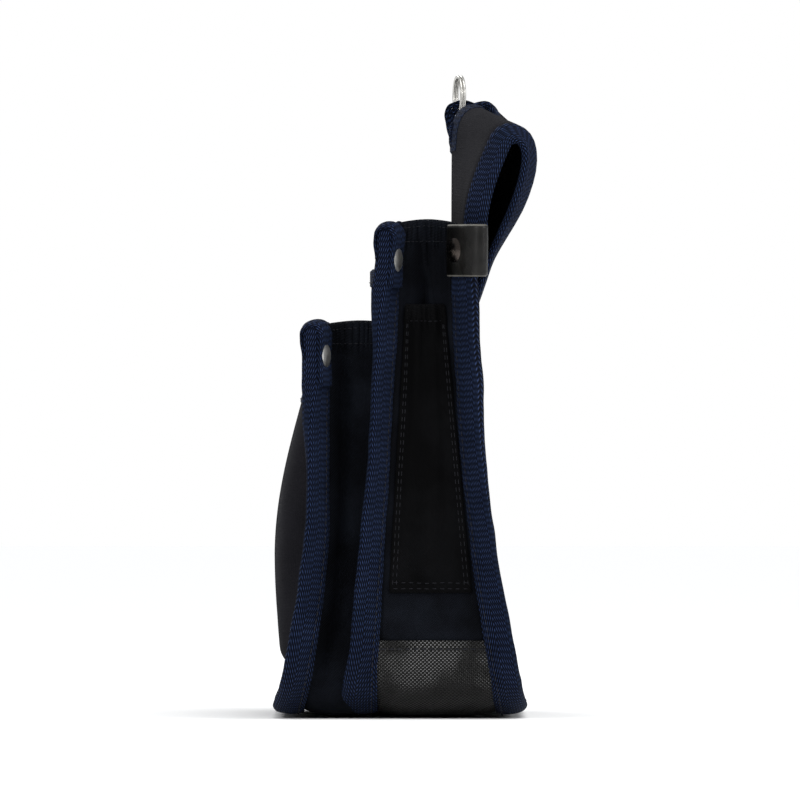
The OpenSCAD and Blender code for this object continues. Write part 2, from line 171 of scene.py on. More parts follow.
class Shader:
    """A Principled material that is built up from small node steps."""

    def __init__(self, name, **constants):
        self.mat = bpy.data.materials.new(name)
        self.mat.use_nodes = True
        self.tree = self.mat.node_tree
        self.main = self.tree.nodes["Principled BSDF"]
        for socket, value in constants.items():
            self.main.inputs[socket.replace("_", " ")].default_value = value

    def node(self, kind, *links, **settings):
        made = self.tree.nodes.new(kind)
        for key, value in settings.items():
            setattr(made, key, value)
        for index, link in enumerate(links):
            self.put(made.inputs[index], link)
        return made

    def put(self, socket, value):
        if isinstance(value, bpy.types.NodeSocket):
            self.tree.links.new(value, socket)
        else:
            socket.default_value = value

    def math(self, operation, *values):
        return self.node("ShaderNodeMath", *values, operation=operation).outputs[0]

    def uv(self):
        """The cloth's own two directions in millimetres."""
        source = self.node("ShaderNodeUVMap", uv_map="Cloth")
        split = self.node("ShaderNodeSeparateXYZ", source.outputs[0])
        return split.outputs[0], split.outputs[1]

    def wave(self, distance, pitch):
        """0 to 1 and back once for each pitch of distance."""
        turned = self.math("MULTIPLY", self.math("DIVIDE", distance, pitch), 2 * math.pi)
        return self.math("MULTIPLY_ADD", self.math("SINE", turned), 0.5, 0.5)

    def place(self):
        return self.node("ShaderNodeTexCoord").outputs["Object"]

    def noise(self, scale, detail):
        made = self.node("ShaderNodeTexNoise")
        self.put(made.inputs["Vector"], self.place())
        made.inputs["Scale"].default_value = scale
        made.inputs["Detail"].default_value = detail
        return made.outputs["Fac"]

    def spread(self, value, low, high, to_low=0.0, to_high=1.0):
        """Stretches a value so that low becomes to_low and high becomes to_high."""
        made = self.node("ShaderNodeMapRange")
        numbers = {"Value": value, "From Min": low, "From Max": high, "To Min": to_low, "To Max": to_high}
        for key, number in numbers.items():
            self.put(made.inputs[key], number)
        return made.outputs[0]

    def patches(self, scale, detail, *limits):
        return self.spread(self.noise(scale, detail), *limits)

    def blend(self, factor, first, second):
        made = self.node("ShaderNodeMix", data_type="RGBA")
        self.put(made.inputs["Factor"], factor)
        self.put(made.inputs[6], first)
        self.put(made.inputs[7], second)
        return made.outputs[2]

    def finish(self, colour, roughness, height, depth_mm):
        self.put(self.main.inputs["Base Color"], colour)
        self.put(self.main.inputs["Roughness"], roughness)
        bump = self.node("ShaderNodeBump")
        bump.inputs["Strength"].default_value = 1.0
        bump.inputs["Distance"].default_value = depth_mm * MM
        self.put(bump.inputs["Height"], height)
        self.put(self.main.inputs["Normal"], bump.outputs[0])
        return self.mat


def rgb(r, g, b):
    return (r, g, b, 1.0)


def tape_material():
    """Herringbone tape: slanting ribs that turn back at each column, knitted in small dots, with painted
    shade in the hollows and painted highlight on the raised ribs.
    """
    column, rib_pitch, slant, dot_pitch = 6.6, 2.8, 2.2, 1.25
    s = Shader("tape", Sheen_Weight=0.015, Sheen_Roughness=0.5, Sheen_Tint=rgb(0.5, 0.62, 0.9),
               Specular_IOR_Level=0.06)
    u, v = s.uv()
    zigzag = s.math("PINGPONG", s.math("ADD", v, 0.6 * column), column)
    rib = s.wave(s.math("MULTIPLY_ADD", zigzag, slant, u), rib_pitch)
    dot = s.wave(v, dot_pitch)
    height = s.math("MULTIPLY_ADD", s.math("MULTIPLY", rib, dot), 0.6, s.math("MULTIPLY", rib, 0.4))
    tone_patches = s.patches(70.0, 3.0, 0.35, 0.7)
    # Painted shade and highlight: the near-black hollow colour and the bright crown colour are mixed by
    # rib height, so the weave's hollows are painted dark and its raised ribs painted bright; the tone
    # patches vary both at random.
    ground = s.blend(tone_patches, rgb(0.0003, 0.0008, 0.003), rgb(0.0008, 0.0016, 0.005))
    crown = s.blend(tone_patches, rgb(0.022, 0.041, 0.112), rgb(0.032, 0.056, 0.145))
    colour = s.blend(s.math("POWER", height, 2.6), ground, crown)
    return s.finish(colour, s.spread(height, 0, 1, 0.85, 0.6), height, 0.4)


def twill_material(name, dark, light):
    """Twill canvas: fine diagonal ribs over two crossing yarns, with broad light and dark patches that are
    partly dust and wear and partly painted shade of soft folds, and painted shade in the rib hollows.
    """
    rib_pitch, yarn_pitch = 1.25, 0.7
    s = Shader(name, Sheen_Weight=0.008, Sheen_Roughness=0.45, Sheen_Tint=rgb(0.6, 0.66, 0.8),
               Specular_IOR_Level=0.035)
    u, v = s.uv()
    rib = s.wave(s.math("ADD", u, v), rib_pitch)
    yarn = s.wave(s.math("SUBTRACT", u, s.math("MULTIPLY", v, 0.6)), yarn_pitch)
    height = s.math("MULTIPLY_ADD", yarn, 0.3, s.math("MULTIPLY", rib, 0.7))
    tone_patches = s.patches(34.0, 4.0, 0.44, 0.66)
    fleck = s.patches(1500.0, 1.0, 0.4, 0.75)
    # Painted shade: the broad tone patches stand partly for dust and wear and partly for the light and
    # shade of soft folds, and the rib height darkens the hollows between the ribs.
    shade = s.math("MULTIPLY_ADD", tone_patches, 0.6, s.math("MULTIPLY", height, 0.4))
    colour = s.blend(s.math("MULTIPLY_ADD", fleck, 0.3, shade), dark, light)
    return s.finish(colour, s.spread(height, 0, 1, 0.9, 0.7), height, 0.22)


def charcoal_material():
    """Heather charcoal plain weave: light and dark fibres mixed in each yarn."""
    pitch = 0.8
    s = Shader("charcoal", Sheen_Weight=0.012, Sheen_Roughness=0.5, Sheen_Tint=rgb(0.8, 0.8, 0.9),
               Specular_IOR_Level=0.04)
    u, v = s.uv()
    height = s.math("MULTIPLY", s.wave(u, pitch), s.wave(v, pitch))
    fibre = s.patches(2600.0, 2.0, 0.35, 0.65)
    cloud = s.patches(45.0, 3.0, 0.35, 0.7)
    mixed = s.math("MULTIPLY_ADD", cloud, 0.25, s.math("MULTIPLY", fibre, 0.6))
    colour = s.blend(mixed, rgb(0.0045, 0.0045, 0.0058), rgb(0.0165, 0.016, 0.0196))
    return s.finish(colour, s.spread(height, 0, 1, 0.95, 0.8), height, 0.15)


def embossed_leather_material():
    """Black leather embossed with a fine diagonal lattice in patchy rubbed tones, with painted highlight
    glints on the lattice's crowns up the side.
    """
    pitch = 2.0
    foot, side = 0.01, 0.019
    s = Shader("boot_leather", Coat_Weight=0.08, Coat_Roughness=0.12, Specular_IOR_Level=0.2)
    u, v = s.uv()
    one = s.math("POWER", s.wave(s.math("ADD", u, v), pitch), 0.6)
    two = s.math("POWER", s.wave(s.math("SUBTRACT", u, v), pitch), 0.6)
    lattice = s.math("MULTIPLY", one, two)
    height = s.math("MULTIPLY_ADD", s.noise(900.0, 3.0), 0.15, lattice)
    rub = s.patches(60.0, 3.0, 0.45, 0.72)
    base = s.blend(rub, rgb(0.0012, 0.0011, 0.0008), rgb(0.0036, 0.0034, 0.0026))
    # Painted highlight: near-white glints on the lattice's crowns, kept above about 10 to 19 mm, off the
    # lower part that curves under, and broken into random patches.
    level = s.node("ShaderNodeSeparateXYZ", s.place()).outputs[2]
    glint_height_mask = s.spread(level, foot, side, 0.0, 0.9)
    patch = s.patches(48.0, 2.0, 0.42, 0.62, 0.1, 1.0)
    crown = s.math("MULTIPLY", s.math("POWER", lattice, 5.0), s.math("MULTIPLY", glint_height_mask, patch))
    colour = s.blend(crown, base, rgb(0.46, 0.46, 0.47))
    return s.finish(colour, s.spread(rub, 0, 1, 0.18, 0.32), height, 0.85)


def smooth_leather_material(name, dark, light, rough, shade_near_wall=False):
    """Smooth strap leather with pores and long rubbed streaks; on request, painted shade darkens it to
    near black towards the wall.
    """
    s = Shader(name, Coat_Weight=0.05, Coat_Roughness=0.3, Specular_IOR_Level=0.2)
    pores = s.patches(1300.0, 3.0, 0.3, 0.6)
    streak = s.patches(120.0, 4.0, 0.35, 0.7)
    colour = s.blend(streak, dark, light)
    # Painted shade: the leather turns near black towards the wall, where the tab's face turns away from
    # the light.
    if shade_near_wall:
        colour = s.blend(s.spread(s.uv()[1], 7.0, 12.5), rgb(0.0008, 0.0007, 0.0006), colour)
    height = s.math("MULTIPLY_ADD", streak, 0.5, pores)
    return s.finish(colour, s.spread(streak, 0, 1, rough - 0.06, rough + 0.1), height, 0.06)


def metal_material(name, tint, rough):
    """Plated metal with faint handling marks."""
    s = Shader(name, Metallic=1.0)
    marks = s.patches(420.0, 4.0, 0.4, 0.75)
    dull = s.patches(90.0, 2.0, 0.3, 0.8)
    colour = s.blend(dull, rgb(*tint), rgb(*[c * 0.86 for c in tint]))
    return s.finish(colour, s.spread(marks, 0, 1, rough, rough + 0.12), marks, 0.002)


def thread_material():
    """Waxed sewing thread with its twist, and painted shade in the twist's grooves."""
    s = Shader("thread", Sheen_Weight=0.02, Specular_IOR_Level=0.15)
    twist = s.wave(s.math("ADD", *s.uv()), 0.45)
    colour = s.blend(twist, rgb(0.003, 0.003, 0.005), rgb(0.02, 0.021, 0.027))
    return s.finish(colour, 0.5, twist, 0.06)


TAPE = tape_material()
CANVAS = twill_material("canvas", rgb(0.0006, 0.0006, 0.0009), rgb(0.006, 0.0073, 0.0108))
# Dark inner twill for the pocket's inside, and also painted shade on the insides of the belt loops and the
# flap's belt side.
LINING_AND_LOOP_SHADE = twill_material("lining_and_loop_shade", rgb(0.0007, 0.0006, 0.0006), rgb(0.003, 0.0026, 0.003))
POCKET = twill_material("pocket_canvas", rgb(0.0006, 0.0006, 0.0007), rgb(0.0032, 0.0033, 0.0038))
CHARCOAL = charcoal_material()
BOOT = embossed_leather_material()
# The corner tabs' leather carries the painted shade near the wall.
TAB = smooth_leather_material(
    "tab_leather", rgb(0.0035, 0.0032, 0.003), rgb(0.0095, 0.009, 0.0082), 0.36, shade_near_wall=True)
CUT_EDGE = smooth_leather_material("cut_leather", rgb(0.05, 0.048, 0.044), rgb(0.12, 0.115, 0.1), 0.7)
NICKEL = metal_material("nickel", (0.9, 0.89, 0.86), 0.31)
RING_STEEL = metal_material("ring_steel", (0.55, 0.54, 0.51), 0.36)
DARK_NICKEL = metal_material("dark_nickel", (0.07, 0.058, 0.052), 0.22)
THREAD = thread_material()


# ---- meshes

def add_object(name, data):
    obj = bpy.data.objects.new(name, data)
    bpy.context.scene.collection.objects.link(obj)
    return obj


def grid_normals(points):
    return unit_rows(np.cross(np.gradient(points, axis=0), np.gradient(points, axis=1)))


def grid_uv(points):
    """Millimetre coordinates along the rows and columns of a grid, measured on its middle lines."""
    nu, nv = points.shape[:2]
    u, v = lengths(points[:, nv // 2]), lengths(points[nu // 2])
    return np.stack(np.meshgrid(u, v, indexing="ij"), 2)


RIM_OUT = 0.9
RIM_UV = 1.3


class Soup:
    """Collects several closed shells, in millimetres, into one smooth-shaded mesh."""

    def __init__(self):
        self.verts, self.faces, self.uvs, self.mats = [], [], [], []

    def build(self, name, mats):
        mesh = bpy.data.meshes.new(name)
        mesh.from_pydata([tuple(p) for p in np.asarray(self.verts) * MM], [], self.faces)
        layer = mesh.uv_layers.new(name="Cloth")
        layer.data.foreach_set("uv", np.asarray(self.uvs, np.float32).ravel())
        for mat in mats:
            mesh.materials.append(mat)
        mesh.polygons.foreach_set("material_index", np.asarray(self.mats, np.int32))
        mesh.polygons.foreach_set("use_smooth", np.ones(len(self.faces), bool))
        mesh.validate()
        mesh.update()
        return add_object(name, mesh)

    def put(self, base, face, uvs, mat):
        """One face, its corners numbered from base, with a coordinate pair for each corner."""
        self.faces.append(tuple(base + k for k in face))
        self.uvs.extend(uvs)
        self.mats.append(mat)

    def sheet(self, points, half, uv=None, front=0, back=0, rim=0):
        """A slab of cloth round a grid of middle points, with rounded rims."""
        uv = grid_uv(points) if uv is None else uv
        nu, nv = points.shape[:2]
        half = np.broadcast_to(np.asarray(half, float), (nu, nv))[..., None]
        normal = grid_normals(points)
        ring = [(0, j) for j in range(nv)] + [(i, nv - 1) for i in range(1, nu)]
        ring += [(nu - 1, j) for j in range(nv - 2, -1, -1)] + [(i, 0) for i in range(nu - 2, 0, -1)]
        edge, edge_uv = [], []
        for i, j in ring:
            past = np.array([(i == nu - 1) - (i == 0), (j == nv - 1) - (j == 0)])
            out = unit_rows(2 * points[i, j] - points[i - past[0], j] - points[i, j - past[1]])
            edge.append(points[i, j] + out * half[i, j] * RIM_OUT)
            edge_uv.append(uv[i, j] + past * half[i, j] * RIM_UV)
        base, count = len(self.verts), nu * nv
        for shell in (points + normal * half, points - normal * half):
            self.verts.extend(shell.reshape(-1, 3))
        self.verts.extend(edge)
        uvs = 2 * list(uv.reshape(-1, 2)) + edge_uv

        def put(face, mat):
            self.put(base, face, [uvs[k] for k in face], mat)

        for i in range(nu - 1):
            for j in range(nv - 1):
                quad = (i * nv + j, (i + 1) * nv + j, (i + 1) * nv + j + 1, i * nv + j + 1)
                put(quad, front)
                put([count + k for k in reversed(quad)], back)
        spots = [i * nv + j for i, j in ring]
        for k, a in enumerate(spots):
            after = (k + 1) % len(spots)
            b, ea, eb = spots[after], 2 * count + k, 2 * count + after
            put((a, b, eb, ea), rim)
            put((ea, eb, count + b, count + a), rim)

    def tube(self, rings, uv_u, uv_v, mat=0):
        """A closed tube through rings of points, shut at both ends by a fan."""
        rings = np.asarray(rings)
        n, m = rings.shape[:2]
        base, last = len(self.verts), (n - 1) * m
        self.verts.extend([*rings.reshape(-1, 3), rings[0].mean(0), rings[-1].mean(0)])
        wide = [*uv_v, uv_v[-1] + uv_v[1]]
        for j in range(m):
            k, v0, v1 = (j + 1) % m, wide[j], wide[j + 1]
            for i in range(n - 1):
                u0, u1 = uv_u[i], uv_u[i + 1]
                self.put(base, (i * m + j, i * m + k, (i + 1) * m + k, (i + 1) * m + j),
                         ((u0, v0), (u0, v1), (u1, v1), (u1, v0)), mat)
            self.put(base, (n * m, k, j), ((uv_u[0], 0), (uv_u[0], v1), (uv_u[0], v0)), mat)
            self.put(base, (n * m + 1, last + j, last + k),
                     ((uv_u[-1], 0), (uv_u[-1], v0), (uv_u[-1], v1)), mat)


STITCHES = {"seam": (2.6, 1.2, 0.24), "tape": (2.8, 1.1, 0.28), "pocket_side": (2.8, 1.1, 0.3),
            "strong": (3.0, 1.1, 0.34), "hem": (2.2, 1.5, 0.2), "pocket_hem": (2.2, 1.6, 0.2),
            "pocket": (2.2, 1.7, 0.2)}
STITCH_SHAPE = ((0.0, 0.35, -0.5), (0.12, 0.85, 0.25), (0.5, 1.0, 0.55),
                (0.88, 0.85, 0.25), (1.0, 0.35, -0.5))
THREAD_SIDES = 6


def add_stitches(soup, points, normals, kind, lift=0.0, mat=1):
    """Short rounded threads along a line lifted off the cloth, that dip into it at both ends.

    A kind of stitch is its length, gap and radius. STITCH_SHAPE gives a share of the length, and
    the thickness and the height there as shares of the radius.
    """
    length, gap, radius = STITCHES[kind]
    normals = np.broadcast_to(np.asarray(normals, float), np.shape(points))
    points = np.asarray(points, float) + normals * lift
    along = lengths(points)
    angles = np.arange(THREAD_SIDES) / THREAD_SIDES * 2 * np.pi
    for start in np.arange(0.5, along[-1] - length, length + gap):
        rings = []
        for share, fat, rise in STITCH_SHAPE:
            here = start + share * length
            behind, place, ahead = at_lengths(points, along, [here - 0.5, here, here + 0.5])
            tangent = unit_rows(ahead - behind + 1e-6)
            normal = at_lengths(normals, along, here)
            normal = unit_rows(normal - tangent * np.dot(normal, tangent))
            side = np.cross(tangent, normal)
            centre = place + normal * rise * radius
            rings.append([centre + radius * fat * (np.cos(a) * normal + np.sin(a) * side) for a in angles])
        soup.tube(rings, [share * length for share, _, _ in STITCH_SHAPE], angles / np.pi, mat)


def piece(soup, name, mats, node):
    """Builds a piece of the pouch with its materials, parents it to the pouch body and hides the CAD node
    it stands for.
    """
    obj = soup.build(name, mats)
    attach(obj, "pouch")
    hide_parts(node)
    return obj


# ---- the seam's path

def seam_path(top, step):
    """Stations down the right side, along the bottom and up the left: x, z and the normal's angle."""
    r = CORNER_R
    cx, cz = HALF_W - r, FOOT_Z + r
    count = max(4, int((top - cz) / step))
    arc = max(8, int(r * np.pi / 2 / step))
    run = max(6, int(2 * cx / step))
    down = [(HALF_W, z, 0.0) for z in np.linspace(top, cz, count, endpoint=False)]
    turn = [-np.pi / 2 * i / arc for i in range(arc)]
    right = [(cx + r * np.cos(a), cz + r * np.sin(a), a) for a in turn]
    under = [(x, FOOT_Z, -np.pi / 2) for x in np.linspace(cx, -cx, run, endpoint=False)]
    left = [(-cx + r * np.cos(a), cz + r * np.sin(a), a) for a in np.array(turn) - np.pi / 2]
    up = [(-HALF_W, z, -np.pi) for z in np.linspace(cz, top, count + 1)]
    return np.array(down + right + under + left + up)


def wall_point(x, y, z, a, out):
    """Points out from the wall along its normal, which has the angle a."""
    return np.stack([x + out * np.cos(a), y + 0 * out, z + out * np.sin(a)], -1)


def wall_grid(path, cols):
    """Shares across the wall's depth, and the stations' x, z and angle at each of them."""
    t = np.linspace(0, 1, cols)[None, :]
    return t, *(path[:, k][:, None] + 0 * t for k in range(3))


def wall_edges(near, far, z):
    """Depths where a side wall meets the panels in front of it and behind it."""
    gap = PANEL_T / 2 + 0.2
    return DEPTH[near](z) + gap, DEPTH[far](z) - gap


# The tapes at the foot, where they curl and widen, and the dents round the rivets.
CURL = {"rear": 3.6, "middle": 3.6, "front": 3.2}
FOOT_EXTRA = {"rear": 0.0, "middle": 2.8, "front": 0.0}
RIVET_Z = {"middle": 230.5, "front": 182.0}
RIVET_OUT = 5.5
RIVET_DIP_R = 7.5
TAPE_SUNK = -1.4
TAPE_CLOSE = 4.0
SEAM_ENDS = 14


def turned(turn, out, lift):
    """Distance off the wall and depth of what lies out along a tape and lift off its middle."""
    return out * np.cos(turn) + lift * np.sin(turn), out * np.sin(turn) - lift * np.cos(turn)


def on_tape(turn, out, lift):
    """The same, measured from the tape's root."""
    n, f = turned(turn, out, lift)
    return n + 0.3 + TAPE_T / 2 * np.sin(turn), f


def tape_ring(turn, thick, width, far, curl):
    """Section of a folded tape as (off wall, depth), and the distance round it; far swells one side."""
    tip = width - thick / 2
    share = np.linspace(0, 1, 9)
    half = thick / 2 * (0.7 + 0.3 * np.sin(np.pi * np.minimum(share * 0.75, 0.5)))
    round_end = np.radians([66, 33, 0, -33, -66])
    inner = TAPE_SUNK + share * (tip - TAPE_SUNK)
    a = np.concatenate([inner, tip + half[-1] * np.cos(round_end), inner[::-1]])
    b = np.concatenate([half, half[-1] * np.sin(round_end), -half[::-1]])
    b = np.where(b < 0, b * far, b)
    n, f = turned(turn, a, b)
    n += thick / 2 * np.sin(turn) - 0.4 - curl * np.clip(a / width, 0, 1.1) ** 2.2
    return n, f, lengths(np.stack([a, b], 1))


def mouth_swell(seam, z, top):
    """How much fuller the folded tape is on its far side: high on the rear seam, else at the mouth."""
    if seam == "rear":
        return 1 + 1.6 * smooth(z, 60, 190)
    return 1 + {"middle": 2.4, "front": 2.6}[seam] * smooth(z, top - 80, top - 24)


def seam_tape(seam, top, way, seed):
    """Tape folded round a seam, uneven as sewn by hand, with its ends folded over at the mouth on the
    middle and front seams.
    """
    path = seam_path(top - 1.5, 2.4)
    along = lengths(path[:, :2])
    rings = []
    for at, (x, z, a) in zip(along, path):
        turn = lean(z, seam) + math.radians(2.0) * waves(at, seed, 90)
        turn = min(turn, math.radians(LEAN_FOOT))
        thick = TAPE_T * (0.96 + 0.05 * waves(at, seed + 3, 37))
        down = smooth(-math.sin(a), 0.2, 1.0)
        width = TAPE_W + FOOT_EXTRA[seam] * down + 0.3 * waves(at, seed + 5, 55)
        n, f, across = tape_ring(turn, thick, width, mouth_swell(seam, z, top), CURL[seam] * down)
        short = 1 - min(1, min(at, along[-1] - at) / TAPE_CLOSE)
        close = math.sqrt(max(0.04, 1 - short**2))
        n = np.maximum(TAPE_SUNK + 0.1, n.mean() + (n - n.mean()) * (0.5 + 0.5 * close))
        f = f.mean() + (f - f.mean()) * close
        depth = DEPTH[seam](z) + 0.35 * waves(at, seed + 7, 70)
        rings.append(wall_point(x, depth + way * f, z, a, n)[:: -way])
    soup = Soup()
    soup.tube(rings, along, across)
    if seam != "rear":
        for side in (-1, 1):
            add_tape_end(soup, seam, top, way, side)
    for inset, face in ((1.6, 1), (2.6, -1)):
        line, normals = [], []
        for x, z, a in path[SEAM_ENDS:-SEAM_ENDS]:
            turn = min(lean(z, seam), math.radians(LEAN_FOOT))
            n, f = on_tape(turn, inset, TAPE_T / 2 * 0.83 * face)
            line.append(wall_point(x, DEPTH[seam](z) + way * f, z, a, n))
            n, f = turned(turn, 0, face)
            normals.append(wall_point(0, way * f, 0, a, n))
        add_stitches(soup, line, normals, "seam")
    name = seam + "_binding"
    piece(soup, name, [TAPE, THREAD], name)


def flange_point(seam, way, side, z, out, lift):
    """A point on a seam's tape: out from its root and lift off its middle towards the wall."""
    n, f = on_tape(lean(z, seam), out, lift)
    return (side * (HALF_W + max(-0.6, n)), DEPTH[seam](z) + way * f, z)


def add_tape_end(soup, seam, top, way, side):
    """The tape's last stretch: up the far side, over the mouth end and down the wall side."""
    half, crown = 0.6, 5.6
    near = TAPE_T / 2 + half
    far = TAPE_T / 2 * mouth_swell(seam, top, top) + half
    high = top - crown - half
    rows = [(z, near) for z in np.linspace(top - 33, high, 16, endpoint=False)]
    rows += [(high + crown * math.sin(t), (near - far) / 2 + (near + far) / 2 * math.cos(t))
             for t in np.linspace(0, math.pi, 17)]
    rows += [(z, 1.4 * smooth(z, high - 4, top - 19) - far) for z in np.linspace(high, top - 19, 9)[1:]]
    grid = []
    for k, (z, lift) in enumerate(rows):
        low = smooth(k, 5, -1)
        line = []
        for share in np.linspace(0, 1, 12):
            out = (TAPE_W - 0.2 - 2.0 * low) * share - 0.6 + 0.5 * low * math.sin(k)
            away = math.hypot(z - RIVET_Z[seam], out - RIVET_OUT) / RIVET_DIP_R
            dip = 1.2 * math.exp(-(away**2)) if lift > 0 else 0.0
            shoulder = 2.6 * max(0.0, abs(share - 0.45) / 0.55) ** 3 * smooth(z, high - 3, high + 3)
            hem = 0.9 * smooth(share, 0.86, 1.0) * (1 if lift > 0 else -1)
            wrinkle = 0.14 * math.sin(out * 1.9 + z * 0.35) * smooth(z, top - 24, top - 4)
            line.append(flange_point(seam, way, side, z - shoulder, out, lift - dip - hem + wrinkle))
        grid.append(line)
    grid = np.array(grid)
    if side * way < 0:
        grid = grid[:, ::-1]
    soup.sheet(grid, half, tape_uv(grid))


def tape_uv(grid):
    """Tape coordinates: along the rows, and true distance across the columns."""
    steps = np.linalg.norm(np.diff(grid, axis=0), axis=2).mean(1)
    along = np.concatenate([[0], np.cumsum(steps)])[:, None]
    across = np.array([lengths(row) for row in grid])
    return np.stack([along + 0 * across, across], 2)


seam_tape("rear", MAIN_H + 0.6, 1, 1.0)
seam_tape("middle", MAIN_H + 1.5, -1, 2.0)
seam_tape("front", FRONT_H + 3.2, -1, 3.0)


# ---- panels

def panel(seam, top, seed, bulge):
    """A panel between its seams: rounded lower corners, a slight belly and slow waves."""
    zs = FOOT_Z + (top - FOOT_Z) * np.linspace(0, 1, 96) ** 1.5
    low = np.maximum(0, (FOOT_Z + CORNER_R - zs) / CORNER_R)
    half = HALF_W - CORNER_R + CORNER_R * np.sqrt(np.maximum(0, 1 - low**2))
    share = np.linspace(-1, 1, 81)[None, :]
    x = half[:, None] * share
    z = zs[:, None] + 0 * x
    height = (z - FOOT_Z) / (top - FOOT_Z)
    belly = bulge * np.cos(share * np.pi / 2) ** 0.8 * np.sin(np.pi * np.clip(height * 0.85 + 0.05, 0, 1))
    sag = 0.7 * waves(x * 0.7 + z * 0.5, seed, 95) * (1 - np.abs(share) ** 4) * np.sin(np.pi * height)
    y = DEPTH[seam](z) + (belly + sag) * (1 - smooth(z, top - 34, top - 12))
    points = np.stack([x, y, z], 2)
    soup = Soup()
    soup.sheet(points, PANEL_T / 2, np.stack([z, x], 2))
    name = seam + "_panel"
    piece(soup, name + "_cloth", [CANVAS], name)


panel("rear", MAIN_H, 1.3, -1.0)
panel("middle", MAIN_H - 0.6, 2.1, 0.8)
panel("front", FRONT_H - 0.6, 4.2, -1.0)


def mouth_tape(seam, top, seed):
    """Tape folded over a panel's mouth edge, seen as a rounded rim with a line of stitches."""
    xs = np.linspace(-HALF_W + 1.5, HALF_W - 1.5, 120)
    angles = np.linspace(0, np.pi, 9)
    half, deep = 1.9, 11.0
    a = np.concatenate([[half] * 5, half * np.cos(angles), [-half] * 5])
    b = np.concatenate([np.linspace(-deep, -1.2, 5), half * np.sin(angles), np.linspace(-1.2, -deep, 5)])
    ys = DEPTH[seam](top) + 0.4 * waves(xs, seed, 80)
    zs = top + 0.4 * waves(xs, seed + 2, 60)
    rings = [np.stack([0 * a + x, y + a, z + b], 1) for x, y, z in zip(xs, ys, zs)]
    soup = Soup()
    soup.tube(rings, xs - xs[0], lengths(np.stack([a, b], 1)))
    line = np.stack([xs, ys, top - deep + 2.2 + 0 * xs], 1)
    for face in (-1, 1):
        add_stitches(soup, line, (0, face, 0), "tape", half)
    piece(soup, seam + "_mouth_tape", [TAPE, THREAD], seam + "_mouth_binding")


mouth_tape("middle", MAIN_H - 0.5, 1.0)
mouth_tape("front", FRONT_H - 0.5, 5.0)


# ---- gussets and boot

def main_fold(z, t):
    """How far the main side wall sinks inwards: one soft hollow and wrinkles below the mouth."""
    height = smooth(z, 45, 235)
    hollow = 6.6 * height * np.sin(np.pi * t) ** 1.3
    crease = 2.2 * np.exp(-(((t - 0.42 - 0.1 * np.sin(z / 28)) / 0.07) ** 2)) * smooth(z, 150, 225)
    ripple = 1.2 * np.sin(2 * np.pi * (2.6 * t + 0.35 * np.sin(z / 33))) * smooth(z, 60, 200)
    ridge = -2.8 * np.exp(-(((t - 0.4 - 0.006 * (242 - z)) / 0.055) ** 2)) * smooth(z, 184, 205)
    return (hollow + crease + ripple + ridge) * np.sin(np.pi * np.clip(t, 0, 1)) ** 0.4


def front_fold(z, t):
    """The front side wall's deep inward fold beside the front seam, shallower at both ends."""
    valley = 0.25 + 0.03 * np.sin(z / 40)
    deep = 13.0 * smooth(z, 8, 50) * (1 - 0.65 * smooth(z, 150, 197))
    near = np.clip(t / valley, 0, 1)
    far = np.clip((1 - t) / (1 - valley), 0, 1)
    shape = np.minimum(np.sin(near * np.pi / 2) ** 1.2, np.sin(far * np.pi / 2) ** 1.2)
    ripple = 0.8 * np.sin(2 * np.pi * (2.1 * t + 0.3 * np.sin(z / 37 + 1))) * smooth(z, 40, 120)
    return deep * shape + ripple * np.sin(np.pi * t)


MAIN_SAG = 3.2


def floor_sag(z, t, drop):
    """How far the bottom of a wall hangs between the tapes that carry it."""
    return drop * np.sin(np.pi * np.clip(t, 0, 1)) ** 0.4 * smooth(z, FOOT_Z + 20, FOOT_Z)


def gusset(where, near, far, top, fold, drop):
    """A side, the bottom and the other side in one strip, with a turned hem at each mouth end."""
    path = seam_path(top, 2.2)
    t, x, z, a = wall_grid(path, 44)
    hem = smooth(z, top - 10.5, top - 9.0)
    y0, y1 = wall_edges(near, far, z)
    y = y0 + (y1 - y0) * t
    pucker = 0.65 * np.sin(2 * np.pi * t * 11 + 2 * np.sin(t * 9)) * smooth(z, top - 16, top - 8)
    inward = fold(z, t) + WALL_T / 2 + pucker
    arch = 1.4 * np.sin(np.pi * t) * smooth(z, top - 12, top)
    points = wall_point(x, y, z + arch - floor_sag(z, t, drop), a, -inward)
    half = WALL_T / 2 * (1 + 0.55 * hem)
    soup = Soup()
    soup.sheet(points, half, np.stack([lengths(path[:, :2])[:, None] + 0 * t, y], 2))
    normals = grid_normals(points)
    for below in (2.2, 8.0):
        for side, rows in ((1, range(0, 12)), (-1, range(len(path) - 12, len(path)))):
            row = min(rows, key=lambda k: abs(path[k, 1] - (top - below)))
            outward = normals[row, 1:-1] * np.sign(normals[row, 22, 0]) * side
            add_stitches(soup, points[row, 1:-1], outward, "hem", half[row, 1:-1, None] + 0.05)
    name = where + "_gusset"
    piece(soup, name + "_cloth", [CANVAS, THREAD], name)


gusset("main", "middle", "rear", MAIN_H, main_fold, MAIN_SAG)
gusset("front", "front", "middle", FRONT_H, front_fold, 4.6)


